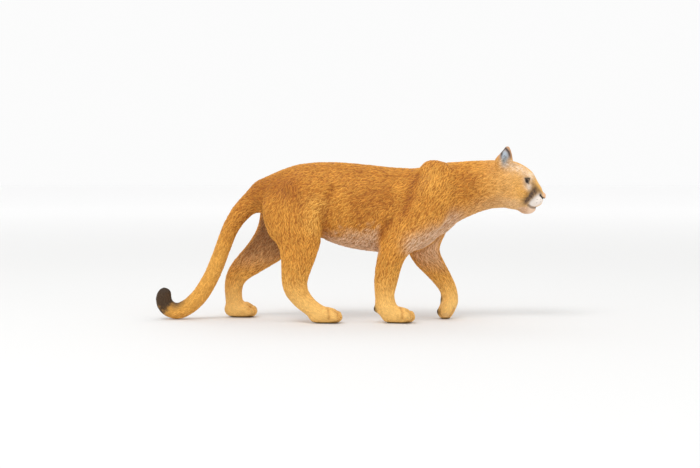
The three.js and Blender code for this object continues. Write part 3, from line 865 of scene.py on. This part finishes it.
skin.data.materials.clear()
skin.data.materials.append(painted)
for polygon in skin.data.polygons:
    polygon.use_smooth = True

# %% [markdown]
# ## Fine moulded strokes
# Over the clumps the sculptor cut fine strokes, each a thin ridge that tapers to a point along the lie of
# the fur. One low-sided ball is the pattern for all of them. Each copy is laid along its own short path
# over the skin, found by small steps in the direction of the lie, with its underside sunk. Each ridge is
# painted lighter as a painted highlight, and its sides darker as painted shade.

# %% The pattern of a stroke
SIDES, ROWS = 5, 4

pattern = bmesh.new()
bmesh.ops.create_uvsphere(pattern, u_segments=SIDES, v_segments=ROWS, radius=1.0)
bmesh.ops.triangulate(pattern, faces=pattern.faces)
widest = max(pattern.verts, key=lambda vertex: vertex.co.xy.length)
to_top = math.pi / 2 - math.atan2(widest.co.y, widest.co.x)
bmesh.ops.rotate(pattern, cent=(0, 0, 0), matrix=Matrix.Rotation(to_top, 3, "Z"), verts=pattern.verts)
pattern.verts.index_update()
pattern_points = np.array([vertex.co[:] for vertex in pattern.verts])
pattern_faces = np.array([[vertex.index for vertex in face.verts] for face in pattern.faces])
pattern.free()
print("faces in a stroke:", len(pattern_faces))

# %% [markdown]
# The strokes keep a distance from each other, so that a groove is left between them. We try random places
# one after another, and drop a place when a stroke already stands too near. On the head and the feet they
# are smaller and closer.

# %% Choose the places of the strokes
TRIES = 210000
STROKES_IN_PIECE = 6000
STROKE_SPACE = 0.46
FINE_LENGTH, FINE_WIDTH, FINE_HEIGHT = 1.8, 0.18, 0.22
FINE_TURN, FINE_WAVE = 0.28, 0.5
STEPS = 6
NOSE_FROM, MUZZLE_FROM, MUZZLE_BELOW = 61.5, 58.5, 43.5
ABOVE_FLOOR, FROM_EYE = 0.5, 1.8
NEXT_TO = (-1, 0, 1)

off_limits = points[:, 0] > NOSE_FROM
off_limits |= (points[:, 0] > MUZZLE_FROM) & (points[:, 2] < MUZZLE_BELOW)
off_limits |= (points[:, 2] < ABOVE_FLOOR) | (on_ear > 0.3)
for side in on_both_sides([eye_right]):
    off_limits |= np.linalg.norm(points - side[0], axis=1) < FROM_EYE
small = 1 - np.clip(0.45 * toward_face + 0.4 * toward_feet, 0.0, 1.0)
tries = rng.integers(0, len(points), TRIES)
tries = tries[~off_limits[tries]]
taken = {}
roots = []
for index in tries:
    room = STROKE_SPACE * small[index]
    place = points[index]
    cell = tuple((place // STROKE_SPACE).astype(int))
    block = [(cell[0] + i, cell[1] + j, cell[2] + k) for i in NEXT_TO for j in NEXT_TO for k in NEXT_TO]
    if all(math.dist(place, other) > room for key in block for other in taken.get(key, ())):
        taken.setdefault(cell, []).append(tuple(place))
        roots.append(index)
roots = np.array(roots)
lengths = FINE_LENGTH * small[roots] * rng.uniform(0.65, 1.35, len(roots))
widths = FINE_WIDTH * small[roots] * rng.uniform(0.75, 1.2, len(roots))
heights = FINE_HEIGHT * (0.2 + 0.8 * small[roots]) * rng.uniform(0.7, 1.2, len(roots))
heights *= (1 - 0.75 * toward_feet[roots] - 0.4 * toward_face[roots]) * (1 - 0.4 * tail_end[roots])
turns = rng.normal(0.0, FINE_TURN, len(roots)) * (1 + 0.9 * smoothstep(5.5, 8.5, leg_gap[roots]))
phases = rng.uniform(0.0, 2 * math.pi, len(roots))

# %% [markdown]
# Each path has a few steps, and every step follows the lie of the fur, with a turn of its own and a slight
# wave. After each step the place is set back onto the skin, so a stroke bends with the body under it.

# %% Lay their paths over the skin
tree = tree_of_points()
coat_normals = relaxed(normals, 3)
coat_normals /= np.linalg.norm(coat_normals, axis=1)[:, None]
nearest = np.empty((len(roots), STEPS), dtype=int)
middles = np.empty((len(roots), STEPS, 3))
place = points[roots]
for step in range(STEPS):
    nearest[:, step] = [tree.find(spot)[1] for spot in place]
    at = nearest[:, step]
    rise = np.sum((place - points[at]) * coat_normals[at], axis=1)
    middles[:, step] = place - coat_normals[at] * rise[:, None]
    turn = turns + FINE_WAVE * np.sin(phases + step * 1.5)
    way = lie[at] * np.cos(turn)[:, None] + across[at] * np.sin(turn)[:, None]
    place = middles[:, step] + way * (lengths / (STEPS - 1))[:, None]
print("strokes laid:", len(roots))


def between(values, share):
    """The value at a share, from 0 to 1, of the way along every path."""
    spot = share * (STEPS - 1)
    low = min(int(spot), STEPS - 2)
    return values[:, low] * (low + 1 - spot) + values[:, low + 1] * (spot - low)


# %% [markdown]
# A baker needs the skin laid out flat. Each long part is unrolled about its own line: how far along the
# line a point lies gives one coordinate, and the angle about the line gives the other. The six parts lie
# one above another. Every stroke takes a tiny patch at its root's place, so it is baked with the paint that
# it stands on.

# %% Unroll the skin for baking
CHARTS = [(TRUNK_LINE, 9.0), (TAIL_LINE, 3.0)] + [(line, 4.6) for line in LEG_LINES]
CHART_END = 10.0
CHART_GUTTER = 0.012
PATCH = 0.003


def unrolled(line):
    line = np.array(line, dtype=float)
    knots = np.concatenate([[0.0], np.cumsum(np.linalg.norm(np.diff(line, axis=0), axis=1))])
    gap, reach, heading = along(line, points)
    offset = points - np.stack([np.interp(reach, knots, line[:, axis]) for axis in range(3)], axis=1)
    top = np.cross(heading, (0.0, 1.0, 0.0))
    turn = np.arctan2(offset[:, 1], np.sum(offset * top, axis=1)) / (2 * math.pi) + 0.5
    reach = (reach + np.sum(offset * heading, axis=1) + CHART_END) / (knots[-1] + 2 * CHART_END)
    return gap, np.stack([reach, turn], axis=1)


def placed(flat, row):
    """Sets a chart's coordinates, each from 0 to 1, into its own band of the layout."""
    height = 1.0 / len(CHARTS)
    place = CHART_GUTTER + flat * np.array([1 - 2 * CHART_GUTTER, height - 2 * CHART_GUTTER])
    place[..., 1] += row * height
    return place


def add_bake_map(mesh, places):
    mesh.uv_layers.new(name="OFBake").data.foreach_set("uv", places.astype(np.float32).ravel())


charts = [unrolled(line) for line, _ in CHARTS]
own_chart = np.argmin([gap / size for (gap, _), (_, size) in zip(charts, CHARTS)], axis=0)
flat_places = np.array([flat for _, flat in charts])
corner_point = np.empty(len(skin.data.loops), dtype=np.int32)
skin.data.loops.foreach_get("vertex_index", corner_point)
first_corner = np.empty(len(skin.data.polygons), dtype=np.int32)
corners = np.empty(len(skin.data.polygons), dtype=np.int32)
skin.data.polygons.foreach_get("loop_start", first_corner)
skin.data.polygons.foreach_get("loop_total", corners)
lead = np.repeat(corner_point[first_corner], corners)
flat = flat_places[own_chart[lead], corner_point]
flat[:, 1] -= np.round(flat[:, 1] - flat_places[own_chart[lead], lead][:, 1])
add_bake_map(skin.data, placed(flat, own_chart[lead]))
root_places = placed(flat_places[own_chart[roots], roots], own_chart[roots])

# %% [markdown]
# Now each stroke gets its points: the pattern is stretched along the path, made as wide and high as that
# stroke is, and sunk into the skin. Its paint is the skin's own at that place, made lighter on the ridge as
# a painted highlight and darker at the sides as painted shade.

# %% Turn the strokes into pieces
SUNK = 0.35
STROKE_GRAIN_SHADE = 0.35
RIDGE_LIGHT, SIDE_SHADE = 1.04, 0.48


def stroke_piece(name, chosen):
    shares = (1 + pattern_points[:, 2]) / 2
    spread = np.empty((len(chosen), len(pattern_points), 3))
    shade = np.empty((len(chosen), len(pattern_points), 3))
    up = coat_normals[nearest[chosen]]
    aside = across[nearest[chosen]]
    colour = layered[nearest[chosen]]
    for number, (share, (out, high, _)) in enumerate(zip(shares, pattern_points)):
        spread[:, number] = between(middles[chosen], share)
        spread[:, number] += between(aside, share) * (out * widths[chosen])[:, None]
        spread[:, number] += between(up, share) * ((high - SUNK) * heights[chosen])[:, None]
        # Lighter towards the ridge and darker towards the sides: a painted highlight and painted shade.
        lit = SIDE_SHADE + (RIDGE_LIGHT - SIDE_SHADE) * smoothstep(-0.7, 0.5, high)
        shade[:, number] = between(colour, share) * lit
    shade *= shades[chosen][:, None, None]
    spread[:, :, 2] = np.maximum(spread[:, :, 2], 0.0)
    faces = pattern_faces[None] + (np.arange(len(chosen)) * len(pattern_points))[:, None, None]
    mesh = bpy.data.meshes.new(name)
    mesh.from_pydata(spread.reshape(-1, 3) * MM, [], faces.reshape(-1, 3))
    paint_layer = mesh.color_attributes.new("paint", "FLOAT_COLOR", "POINT")
    flat = np.column_stack([shade.reshape(-1, 3), np.full(spread.shape[0] * spread.shape[1], STROKE_GRAIN_SHADE)])
    paint_layer.data.foreach_set("color", flat.astype(np.float32).ravel())
    patches = root_places[chosen][:, None] + pattern_points[None, :, [2, 0]] * PATCH / 2
    add_bake_map(mesh, patches[:, pattern_faces].reshape(-1, 2))
    mesh.materials.append(painted)
    mesh.polygons.foreach_set("use_smooth", [True] * len(mesh.polygons))
    return new_object(name, mesh)


shades = rng.uniform(0.80, 1.14, len(roots))
stroke_pieces = []
for start in range(0, len(roots), STROKES_IN_PIECE):
    chosen = np.arange(start, min(start + STROKES_IN_PIECE, len(roots)))
    stroke_pieces.append(stroke_piece(f"coat_strokes_{len(stroke_pieces) + 1}", chosen))
print("stroke pieces:", len(stroke_pieces))

# %% [markdown]
# ## The eyes
# Each eye is a small almond bead of dark gloss set in the hollow that was pressed for it. A rounded sphere
# is flattened, pinched towards its corners, cut lower above than below, and leant back a little.

# %% Eyes
EYE_LEAN = 0.35 * math.tan(math.radians(24))
EYE_PINCH, EYE_UPPER = 0.35, 0.82
EYE_HALF_DEPTH, EYE_SUNK = 0.55, 0.17


def eye_bead(name, place):
    bead = bmesh.new()
    bmesh.ops.create_uvsphere(bead, u_segments=32, v_segments=20, radius=1.0)
    for vertex in bead.verts:
        pinch = 1 - EYE_PINCH * vertex.co.x**2
        vertex.co.z *= pinch * (EYE_UPPER if vertex.co.z > 0 else 1.0)
    sizes = Vector((EYE_HALF_LENGTH, EYE_HALF_DEPTH, EYE_HALF_HEIGHT)) * MM
    bmesh.ops.scale(bead, vec=sizes, verts=bead.verts)
    for vertex in bead.verts:
        vertex.co.x -= EYE_LEAN * vertex.co.z
    bmesh.ops.translate(bead, vec=Vector(place) * MM, verts=bead.verts)
    bmesh.ops.recalc_face_normals(bead, faces=bead.faces)
    mesh = bpy.data.meshes.new(name)
    bead.to_mesh(mesh)
    bead.free()
    mesh.materials.append(gloss)
    for polygon in mesh.polygons:
        polygon.use_smooth = True
    return new_object(name, mesh)


surface = BVHTree.FromObject(skin, bpy.context.evaluated_depsgraph_get())
eye_pieces = {}
for name, side in [("right", -1), ("left", 1)]:
    socket = np.array(surface.find_nearest(Vector(eye_right * (1, -side, 1)) * MM)[0]) / MM
    place = socket - np.array([0.0, side * EYE_SUNK, 0.0])
    eye_pieces[name] = eye_bead(f"eye_bead_{name}", place)
    print("eye bead", name, "at", place.round(1))

# %% [markdown]
# ## Light and floor
# The photo is a studio packshot: a white sweep, broad soft light from above and in front, and only a faint
# shadow where the feet meet the floor. One large soft lamp above the camera gives the form, and two faint
# ones and the bright world fill it. The floor grows paler with distance, so that it meets the background
# softly.

# %% Light and floor
FLOOR_HALF = 3.0
NEAR_SHADE, FAR_SHADE = (0.74, 0.74, 0.735, 1.0), (0.98, 0.98, 0.98, 1.0)
FADE_FROM, FADE_TO = 0.25, 1.3
LAMP_AIM = Vector((0, 0, 0.03))
LAMPS = [
    ("key", (-0.25, -0.45, 0.80), (0.45, 0.35), 3.2),
    ("fill", (0.7, -0.5, 0.45), (0.5, 0.5), 0.4),
    ("back", (0.0, 0.6, 0.7), (0.9, 0.4), 0.6),
]
WORLD_LIGHT = 0.97

floor_mesh = bpy.data.meshes.new("floor")
ground = bmesh.new()
bmesh.ops.create_grid(ground, x_segments=1, y_segments=1, size=FLOOR_HALF)
ground.to_mesh(floor_mesh)
ground.free()
floor = new_object("floor", floor_mesh)
pale, nodes, links = node_material("pale_floor")
from_middle = nodes.new("ShaderNodeVectorMath")
from_middle.operation = "LENGTH"
object_place = nodes.new("ShaderNodeTexCoord")
links.new(object_place.outputs["Object"], from_middle.inputs[0])
fade = nodes.new("ShaderNodeMapRange")
fade.interpolation_type = "SMOOTHSTEP"
fade.inputs["From Min"].default_value = FADE_FROM
fade.inputs["From Max"].default_value = FADE_TO
links.new(from_middle.outputs["Value"], fade.inputs["Value"])
shades_mixed = nodes.new("ShaderNodeMix")
shades_mixed.data_type = "RGBA"
shades_mixed.inputs["A"].default_value = NEAR_SHADE
shades_mixed.inputs["B"].default_value = FAR_SHADE
links.new(fade.outputs["Result"], shades_mixed.inputs["Factor"])
links.new(shades_mixed.outputs["Result"], nodes["Principled BSDF"].inputs["Base Color"])
nodes["Principled BSDF"].inputs["Roughness"].default_value = 0.8
nodes["Principled BSDF"].inputs["Specular IOR Level"].default_value = 0.1
floor_mesh.materials.append(pale)


def soft_lamp(name, place, size, watts):
    lamp = bpy.data.lights.new(name, "AREA")
    lamp.shape = "RECTANGLE"
    lamp.size, lamp.size_y = size
    lamp.energy = watts
    holder = bpy.data.objects.new(name, lamp)
    holder.location = place
    holder.rotation_euler = (LAMP_AIM - Vector(place)).to_track_quat("-Z", "Y").to_euler()
    scene.collection.objects.link(holder)


for lamp_facts in LAMPS:
    soft_lamp(*lamp_facts)

world = bpy.data.worlds.new("studio")
world.use_nodes = True
world.node_tree.nodes["Background"].inputs["Color"].default_value = (1.0, 1.0, 1.0, 1.0)
world.node_tree.nodes["Background"].inputs["Strength"].default_value = WORLD_LIGHT
scene.world = world
scene.view_settings.view_transform = "Standard"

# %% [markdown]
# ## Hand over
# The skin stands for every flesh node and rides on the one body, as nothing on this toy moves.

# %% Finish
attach(skin, "root")
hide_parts(*FLESH)
for piece in stroke_pieces:
    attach(piece, "root")
for name, piece in eye_pieces.items():
    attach(piece, "root")
    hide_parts(f"eye_{name}")
